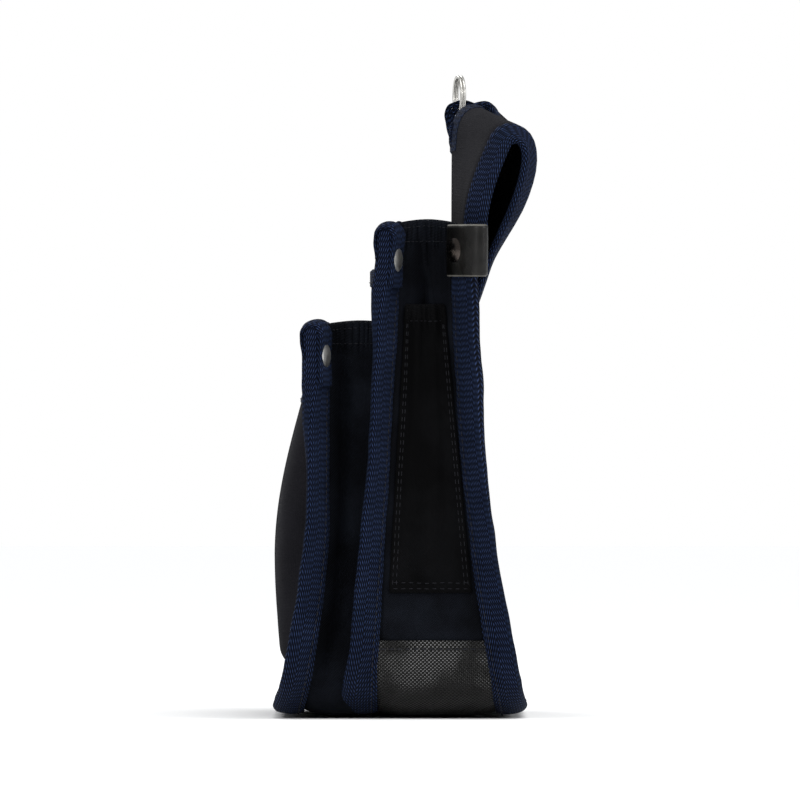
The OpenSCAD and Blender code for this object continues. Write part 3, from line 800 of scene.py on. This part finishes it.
def boot():
    """Embossed leather round the main compartment's foot, thicker along its sewn top edges."""
    half, hem = 0.75, 3.0
    cx, cz = HALF_W - CORNER_R, FOOT_Z + CORNER_R
    r = CORNER_R + 1.0
    arc = np.linspace(-math.asin(min(1, (cz - BOOT_H) / r)), -np.pi / 2, 34)
    right = [(cx + r * np.cos(a), cz + r * np.sin(a), a) for a in arc]
    under = [(x, cz - r, -np.pi / 2) for x in np.linspace(cx, -cx, 60)[1:-1]]
    left = [(-x, z, -np.pi - a) for x, z, a in right[::-1]]
    path = np.array(right + under + left)
    along = lengths(path[:, :2])[:, None]
    t, x, z, a = wall_grid(path, 40)
    y0, y1 = middle_depth(z) + 0.8, rear_depth(z) - 0.8
    y = y0 + (y1 - y0) * t
    end = np.minimum(along, along[-1] - along)
    swell = 0.35 * np.exp(-(((end - hem) / 2.2) ** 2)) + 0.25 * waves(y + along * 0.6, 2.0, 40)
    points = wall_point(x, y, z - floor_sag(z, t, MAIN_SAG), a, swell)
    soup = Soup()
    soup.sheet(points, half, np.stack([along + 0 * t, y], 2))
    for rows in (range(0, 8), range(len(path) - 8, len(path))):
        row = min(rows, key=lambda k: abs(end[k, 0] - hem - 0.2))
        outward = wall_point(0, 0 * a[row], 0, a[row], 1.0)
        add_stitches(soup, points[row, 1:-1], outward[1:-1], "strong", half + 0.05)
    piece(soup, "leather_boot_skin", [BOOT, THREAD], "leather_boot")


boot()


# ---- pockets

POCKET_LOW, POCKET_HIGH = 64.0, 207.0


def side_pocket(side, where):
    """Long patch on the side wall, double stitched, with a gathered hem at its open top."""
    zs = np.linspace(POCKET_LOW, POCKET_HIGH, 96)[:, None]
    t = np.linspace(0, 1, 40)[None, :]
    share = (zs - POCKET_LOW) / (POCKET_HIGH - 2 - POCKET_LOW)
    near = -7.5 + 8.0 * share
    far = 33.0 - 13.5 * share
    y = near + (far - near) * t
    z = zs + 0 * t
    y0, y1 = wall_edges("middle", "rear", z)
    wall = main_fold(z, (y - y0) / (y1 - y0))
    edge = np.minimum(np.minimum(t, 1 - t) * (far - near), z - POCKET_LOW)
    puff = smooth(edge, 1.5, 12) * (1.6 + 3.2 * smooth(z, 150, 206))
    pleat = 1.1 * np.sin(2 * np.pi * (2.2 * t + 0.25 * np.sin(z / 41))) * smooth(edge, 2, 9)
    gather = 0.6 * np.sin(18 * np.pi * t + 2 * np.sin(7 * t))
    gather = gather * smooth(z, POCKET_HIGH - 14, POCKET_HIGH - 4)
    outward = 0.9 - wall * (1 - 0.35 * smooth(edge, 1, 10)) + puff + pleat + gather
    points = np.stack([side * (HALF_W + outward), y, z], 2)[:, ::side]
    hem = smooth(z, POCKET_HIGH - 9, POCKET_HIGH - 8)
    soup = Soup()
    soup.sheet(points, 0.75 * (1 + 0.5 * hem), np.stack([z, y], 2))
    normal = grid_normals(points)
    normal = normal * np.sign(normal[48, 20, 0]) * side
    for inset in (1, 3):
        for col in (inset, -1 - inset):
            add_stitches(soup, points[2:, col], normal[2:, col], "pocket", 0.8)
        add_stitches(soup, points[inset, 1:-1], normal[inset, 1:-1], "pocket", 0.8)
    add_stitches(soup, points[-6, 1:-1], normal[-6, 1:-1], "pocket_hem", 1.2)
    name = "side_pocket_" + where
    piece(soup, name + "_cloth", [POCKET, THREAD], name)


side_pocket(1, "right")
side_pocket(-1, "left")

FULL_LOW = low_high("front_pocket")[0][2]
FULL_HALF, _, FULL_HIGH = low_high("front_pocket")[1]


def pocket_front(z):
    """Depth of the full pocket's face at the middle."""
    rise = np.sin(np.clip((FULL_HIGH + 4 - z) / 92, 0, 1) * np.pi / 2)
    return -48.9 - 16.4 * rise**1.12 + 3 * np.maximum(0, 1 - (z - FULL_LOW) / 60) ** 2


def front_pocket():
    """Full pocket that hangs forward of the front panel, sewn down at its sides and foot."""
    zs = np.linspace(FULL_LOW, FULL_HIGH, 90)[:, None]
    s = np.linspace(-1, 1, 91)[None, :]
    x, z = FULL_HALF * s + 0 * zs, zs + 0 * s
    base = front_depth(z) - PANEL_T / 2 - 0.6
    side = (1 - np.abs(s) ** 7) ** 0.55
    foot = np.sqrt(1 - (1 - np.clip((z - FULL_LOW) / 11, 0, 1)) ** 2)
    droop = 0.8 * waves(x * 0.8 + z * 0.6, 3.0, 70) * np.cos(s * np.pi / 2)
    face = pocket_front(z) + 0.8 + droop
    y = base + (face - base) * side * foot
    points = np.stack([x, y, z], 2)
    soup = Soup()
    soup.sheet(points, 0.7, np.stack([z, x], 2), front=1)
    for col, out in ((1, -1), (-2, 1)):
        line = points[3:, col] + np.array([out * 0.9, -0.4, 0])
        add_stitches(soup, line, (0.5 * out, -1, 0), "pocket_side", mat=2)
    obj = piece(soup, "front_pocket_cloth", [CHARCOAL, LINING_AND_LOOP_SHADE, THREAD], "front_pocket")
    rim_tape("front_pocket", points[-7:], 1.3)


def rim_tape(pocket, rows, half):
    """Tape folded over a pocket's mouth, round its top rows of cloth."""
    grid = rows.transpose(1, 0, 2)
    soup = Soup()
    soup.sheet(grid, half, tape_uv(grid))
    add_stitches(soup, grid[3:-3, 1], (0, -1, 0), "tape", half + 0.05)
    piece(soup, pocket + "_tape", [TAPE, THREAD], pocket + "_binding")


front_pocket()


def inner_pocket():
    """Small pocket on the middle panel's front, fuller at its taped mouth."""
    low, high = low_high("inner_pocket")
    foot = low[2] + 4
    zs = np.linspace(foot, high[2], 50)[:, None]
    s = np.linspace(-1, 1, 71)[None, :]
    x, z = (high[0] - 1) * s + 0 * zs, zs + 0 * s
    base = middle_depth(z) - PANEL_T / 2 - 0.7
    face = base + (low[1] + 0.9 - base) * smooth(z, foot, high[2] - 6)
    y = base + (face - base) * (1 - np.abs(s) ** 6) ** 0.6
    points = np.stack([x, y, z], 2)
    soup = Soup()
    soup.sheet(points, 0.7, np.stack([z, x], 2))
    piece(soup, "inner_pocket_cloth", [CANVAS], "inner_pocket")
    rows = [points[-1] + np.array([0, 0, lift]) for lift in (-5.2, -3.4, -1.6, 0.2, 2.2)]
    rim_tape("inner_pocket", np.array(rows), 1.4)


inner_pocket()


# ---- belt flap and loops

SEWN_Y = float(rear_depth(190.0)) + PANEL_T / 2 + 0.6 + 1.8
FLAP_Y = REAR_Y - 0.6
FLAP_LOW = 246.0
LOOPS = {"right": (1, 36.5, 307.6), "left": (-1, 42.5, 309.6)}
LOOP_ROWS, LOOP_COLS = 170, 60
LOOP_FOOT, LOOP_TOP, LOOP_TAPE = 109.0, 102.0, 9.5
WEB_SHARE = 0.8
STRAP_HALF = 1.15


def flap_inboard(z):
    """Depth of the line where the side tape begins on the flap."""
    return 29.5 + 12.5 * np.maximum(0, (z - 250) / 40) ** 1.6


def flap_rim(z):
    """Depth of the flap's curled side edge."""
    return 40.0 + 12.0 * np.maximum(0, (z - 250) / 38) ** 1.45


def loop_lines(crest_y, crest_z):
    """Three lines along a loop as (depth, height): inner edge, tape's inboard line, outer edge."""
    t = np.linspace(0, 1, 14)
    flap = np.linspace(FLAP_LOW, 288, 12)
    sewn = (SEWN_Y, SEWN_TOP)
    curves = (
        (FLAP_Y + 0 * flap,
         [(FLAP_Y, 290), (FLAP_Y, crest_z - 4), (crest_y - 8, crest_z), (crest_y, crest_z)],
         [(crest_y, crest_z), (crest_y + 5, crest_z), (43.5, 264), (38.5, 229)],
         [(38.5, 229), (37, 217), (SEWN_Y + 2, 205), sewn]),
        (flap_inboard(flap),
         [(42, 290), (44, 295), (47, 298), (52, 298)],
         [(52, 298), (72.4, 298), (71.4, 268), (44, 234)],
         [(44, 234), (40.5, 222), (SEWN_Y + 3.5, 205), sewn]),
        (flap_rim(flap),
         [(52.3, 288.3), (53.5, 289.3), (55, 289.6), (57, 289.4)],
         [(57, 289.4), (65, 287), (58, 262), (42.5, 233)],
         [(42.5, 233), (39.5, 222), (SEWN_Y + 3, 205), sewn]))
    lines = []
    for depth, over, down, foot in curves:
        parts = [np.stack([depth, flap], 1), bezier(over, t), bezier(down, t[1:]), bezier(foot, t[1:])]
        lines.append(soften(np.concatenate([*parts, [(SEWN_Y + 0.9, SEWN_LOW)]]), 3))
    return lines


def loop_surface(side, crest_y, crest_z):
    """Middle surface of a loop strap, from the flap's foot over the crest to the sewn end."""
    at = np.linspace(0, 1, LOOP_ROWS)
    lines = loop_lines(crest_y, crest_z)
    inner, inboard, rim = (at_lengths(line, np.linspace(0, 1, len(line)), at) for line in lines)
    rise = np.clip((inner[:, 1] - FLAP_LOW) / 44, 0, 1) * (at < 0.5) + (at >= 0.5)
    x_rim = LOOP_FOOT - (LOOP_FOOT - LOOP_TOP) * rise
    x_turn = x_rim - LOOP_TAPE
    share = np.linspace(0, 1, LOOP_COLS)
    grid = np.zeros((LOOP_ROWS, LOOP_COLS, 3))
    for j, v in enumerate(share):
        a, b = min(1.0, v / WEB_SHARE), max(0.0, (v - WEB_SHARE) / (1 - WEB_SHARE))
        grid[:, j, 0] = side * (NOTCH_HALF + a * (x_turn - NOTCH_HALF) + b * (x_rim - x_turn))
        grid[:, j, 1:] = inner + a * (inboard - inner) + b * (rim - inboard)
    grid = soften(grid.transpose(1, 0, 2), 5).transpose(1, 0, 2)
    ripple = 0.35 * waves(np.abs(grid[..., 0]) * 0.8 + grid[..., 2], 3.0, 75)
    grid[..., 1] += ripple * np.sin(np.pi * share)
    return grid


def strap_part(surface, start, stop, cols):
    """Columns between two distances from a surface's inner edge; stop, and a start below 0, may
    count back from its outer edge."""
    out = []
    for row in surface:
        along = lengths(row)
        lo = start if start >= 0 else along[-1] + start
        hi = stop if stop > 0 else along[-1] + stop
        out.append(at_lengths(row, along, np.linspace(lo, hi, cols)))
    return np.array(out)


def belt_loops():
    """Both loop straps, the tape on their outer edges and the tape round the notch."""
    notch = Soup()
    for where, (side, *crest) in LOOPS.items():
        surface = loop_surface(side, *crest)
        web = Soup()
        strap = strap_part(surface, 1.0, -1.5, 56)
        # The loop's inner face is the dark inner twill, standing in for the shade inside the loop.
        web.sheet(strap, STRAP_HALF, front=int(side > 0), back=int(side < 0))
        name = "belt_loop_" + where
        piece(web, name + "_cloth", [CHARCOAL, LINING_AND_LOOP_SHADE], name)
        margin = strap_part(surface, -13.0, 0, 12)
        tape = Soup()
        tape.sheet(margin, half_section(margin, 2.0), tape_uv(margin))
        add_box_stitch(tape, surface)
        piece(tape, "loop_tape_" + where, [TAPE, THREAD], "loop_binding_" + where)
        start = int(np.argmax(surface[:, 0, 2] > FLAP_TOP - 5.5))
        inner = strap_part(surface[start:], 0.0, 12.0, 12)
        inner[:, :, 0] -= side * 1.2
        notch.sheet(inner, half_section(inner, 1.9), tape_uv(inner))
    bar = []
    for x in np.linspace(-NOTCH_HALF - 1, NOTCH_HALF + 1, 40):
        z = 284.5 + 2.2 * smooth(abs(x), NOTCH_HALF - 9, NOTCH_HALF + 1)
        bar.append([(x, FLAP_Y + 0.4 * math.sin(k * 0.9) - 0.02 * k, z + 1.05 * k) for k in range(12)])
    bar = np.array(bar)
    notch.sheet(bar, 1.9, tape_uv(bar))
    piece(notch, "notch_tape", [TAPE], "notch_binding")


def half_section(grid, half):
    """Half thickness of a folded tape: pinched at its sewn edges."""
    return half * (0.86 + 0.14 * np.sin(np.pi * np.linspace(0, 1, grid.shape[1])))


def add_box_stitch(soup, surface):
    """Two rows of stitches and a cross over the strap's end on the rear panel."""
    top_row, low_row = surface[-14, 3:-3], surface[-3, 3:-3]
    share = np.linspace(0, 1, 40)[:, None]
    for row in (top_row, low_row):
        add_stitches(soup, row, (0, 1, 0), "strong", STRAP_HALF + 0.15)
    for start, stop in ((top_row[0], low_row[-1]), (top_row[-1], low_row[0])):
        add_stitches(soup, start + (stop - start) * share, (0, 1, 0), "strong", STRAP_HALF + 0.25)


def belt_flap():
    """The flap above the mouth. Its sides lie inside the loop straps, which carry on from it."""
    middle = np.linspace(-NOTCH_HALF, NOTCH_HALF, 17)[1:-1]
    rows = []
    for arm in strap_part(loop_surface(*LOOPS["right"]), 0.0, -5.0, 30):
        if arm[0, 2] > FLAP_TOP - 2:
            break
        rows.append([*(arm[::-1] * (-1, 1, 1)), *((x, *arm[0, 1:]) for x in middle), *arm])
    grid = np.array(rows)[:, ::-1]
    soup = Soup()
    # The flap's belt side is the dark inner twill, painted shade inside the loops.
    soup.sheet(grid, 0.8, grid[..., [2, 0]], back=1)
    obj = piece(soup, "belt_flap_cloth", [CHARCOAL, LINING_AND_LOOP_SHADE], "belt_flap")


belt_loops()
belt_flap()


# ---- hanger and ring

def hanger():
    """Tape bunched through the ring: four layers over its lowest stretch of wire, three under it."""
    soup = Soup()
    y0, z0 = PIVOT[1:]
    across = np.linspace(-1, 1, 26)
    for k in range(4):
        line = [(FLAP_Y - 0.8 - 0.2 * k, 289 + 0.9 * k), (22.6 - 0.3 * k, 297),
                (21.7 - 0.42 * k, 302.0 + 0.4 * k), (23.6 - 0.5 * k, 304.9 + 1.2 * k),
                (y0, z0 + 2.75 + 1.38 * k), (32.0, 306.7 + 1.12 * k), (36.5, 305.4 + 1.05 * k),
                (39.5, 302.4 + 0.9 * k), (41.0, 297 + 0.5 * k)]
        line = soften(resample(line, 0.8), 5)
        rows = []
        for i, (y, z) in enumerate(line):
            low = (1 - smooth(z, 291, 299)) * (y < y0)
            half = 4.6 - 0.25 * (k % 2) + (6.5 - k) * low
            ny, nz = unit_rows(line[min(i + 1, len(line) - 1)] - line[max(i - 1, 0)])[::-1] * (1, -1)
            ridge = 0.22 * np.cos(across * np.pi * 3 + k) + 0.16 * math.sin(i * 0.45 + 2 * k)
            ridge = ridge * (1 - 0.4 * low)
            x = half * across + 0.25 * math.sin(i * 0.3 + k)
            rows.append(np.stack([x, y - ny * ridge, z - nz * ridge], 1))
        grid = np.array(rows)
        soup.sheet(grid, 0.52, tape_uv(grid))
    for k in range(3):
        line = [(FLAP_Y - 1.0, 289 + k), (22.9 + 0.7 * k, 294.2), (22.6 + 0.9 * k, 299.6),
                (23.6 + 0.4 * k, 306.2 - 1.5 * k), (24.5, 304.8 - 1.4 * k), (24.9, 302.2 - 1.0 * k),
                (25.4, 300.3 - 1.0 * k), (33, 300.2 - 1.2 * k), (40, 299.0 - 1.1 * k)]
        line = soften(resample(line, 0.8), 5)
        grid = np.array([[(4.3 * v, y, z + 0.2 * math.cos(v * 6 + k)) for v in np.linspace(-1, 1, 14)]
                         for y, z in line])
        soup.sheet(grid, 0.65, tape_uv(grid))
    piece(soup, "hanger_tape_bunch", [TAPE], "hanger_tape")


hanger()


# ---- leather tabs

def corner_tab(side, node):
    """Leather folded round the rear seam at the mouth corner, with pale cut edges."""
    low, high = low_high(node)
    zs = np.linspace(low[2] - 0.5, high[2] - 1.0, 22)
    slack, lift = 9.0, TAPE_T / 2 + 1.5
    tip = TAPE_W - TAPE_T / 2 + slack
    fold = np.radians(np.linspace(62, -62, 9))
    rows = []
    for z, share in zip(zs, np.linspace(0, 1, len(zs))):
        line = [(-1.2 + 0.4 * math.cos(share * 6), lift + 0.2)]
        line += [(v, lift + 0.25 * math.sin(v * 0.5)) for v in np.linspace(0.5, tip - 1.5, 9)]
        line += [(tip + (lift + 0.3) * math.cos(a), lift * math.sin(a)) for a in fold]
        line += [(v, -lift - 0.2 * math.sin(v * 0.5)) for v in np.linspace(tip - 1.5, 3.6, 8)]
        line = resample(line, 0.9)
        out = line[:, 0] + 0.48 * math.sin(math.pi * share) + 0.9 * share
        n, f = on_tape(lean(z, "rear"), out, line[:, 1])
        rows.append(np.stack([side * (HALF_W + n), rear_depth(z) + f, z + 0 * n], 1))
    shortest = min(len(r) for r in rows)
    grid = np.array([evenly(r, shortest) for r in rows])[:, ::side]
    soup = Soup()
    soup.sheet(grid, 0.95, rim=1)
    piece(soup, node + "_leather", [TAB, CUT_EDGE], node)


corner_tab(1, "corner_tab_right")
corner_tab(-1, "corner_tab_left")


# ---- metal pieces stay as packed

METALS = {"hanging_ring": RING_STEEL, "middle_rivets": NICKEL, "front_rivets": NICKEL,
          "rivet_back_caps": NICKEL, "tab_rivets": DARK_NICKEL}
for node_name, metal in METALS.items():
    metal_node = frame["nodes"][node_name]
    if not metal_node.material_slots:
        metal_node.data.materials.append(metal)
    for metal_slot in metal_node.material_slots:
        metal_slot.material = metal


# ---- floor, light and camera

def stage_floor():
    mesh = bpy.data.meshes.new("floor")
    size = 6.0
    corners = [(-size, -size, 0), (size, -size, 0), (size, size, 0), (-size, size, 0)]
    mesh.from_pydata(corners, [], [(0, 1, 2, 3)])
    paint = Shader("floor_paint", Base_Color=rgb(0.93, 0.93, 0.93), Roughness=0.9, Specular_IOR_Level=0.1)
    mesh.materials.append(paint.mat)
    add_object("floor", mesh)


def look(obj, place, aim):
    """Puts a lamp or the camera at a place and turns it to its aim."""
    obj.location = place
    obj.rotation_euler = (Vector(aim) - Vector(place)).to_track_quat("-Z", "Y").to_euler()


def area_light(name, place, aim, size, power):
    data = bpy.data.lights.new(name, "AREA")
    data.shape = "DISK"
    data.size = size
    data.energy = power
    look(add_object(name, data), place, aim)


def studio():
    """White surroundings for the lens, a dimmer soft box for the object, and lamps for its shape."""
    world = bpy.data.worlds.new("studio")
    bpy.context.scene.world = world
    world.use_nodes = True
    tree = world.node_tree
    soft = tree.nodes["Background"]
    soft.inputs[0].default_value = rgb(0.96, 0.98, 1.0)
    soft.inputs[1].default_value = 0.42
    white = tree.nodes.new("ShaderNodeBackground")
    white.inputs[0].default_value = rgb(1.0, 1.0, 1.0)
    seen = tree.nodes.new("ShaderNodeLightPath")
    mix = tree.nodes.new("ShaderNodeMixShader")
    tree.links.new(seen.outputs["Is Camera Ray"], mix.inputs[0])
    tree.links.new(soft.outputs[0], mix.inputs[1])
    tree.links.new(white.outputs[0], mix.inputs[2])
    tree.links.new(mix.outputs[0], tree.nodes["World Output"].inputs[0])
    sky = bpy.data.lights.new("sky", "SUN")
    sky.energy = 2.3
    sky.angle = math.radians(50)
    add_object("sky", sky).rotation_euler = (math.radians(-14), math.radians(16), 0)
    middle = (0, 0, 0.15)
    area_light("key", (1.5, -0.9, 0.9), middle, 0.35, 11)
    area_light("rim", (0.7, 1.6, 0.8), middle, 0.5, 9)
    area_light("back", (-1.4, -0.6, 1.2), middle, 0.8, 8)


def camera():
    """Long, almost level view along -X at the photograph's scale: 400 mm across."""
    away, across = 9.0, 0.4
    data = bpy.data.cameras.new("view")
    data.sensor_width = 36.0
    data.lens = data.sensor_width * away / across
    data.clip_end = 50.0
    cam = add_object("view", data)
    elevation = math.radians(0.35)
    aim = Vector((0.11, -0.0025, 0.16))
    look(cam, aim + Vector((math.cos(elevation), 0, math.sin(elevation))) * away, aim)
    bpy.context.scene.camera = cam


stage_floor()
studio()
camera()
bpy.context.scene.view_settings.view_transform = "Standard"
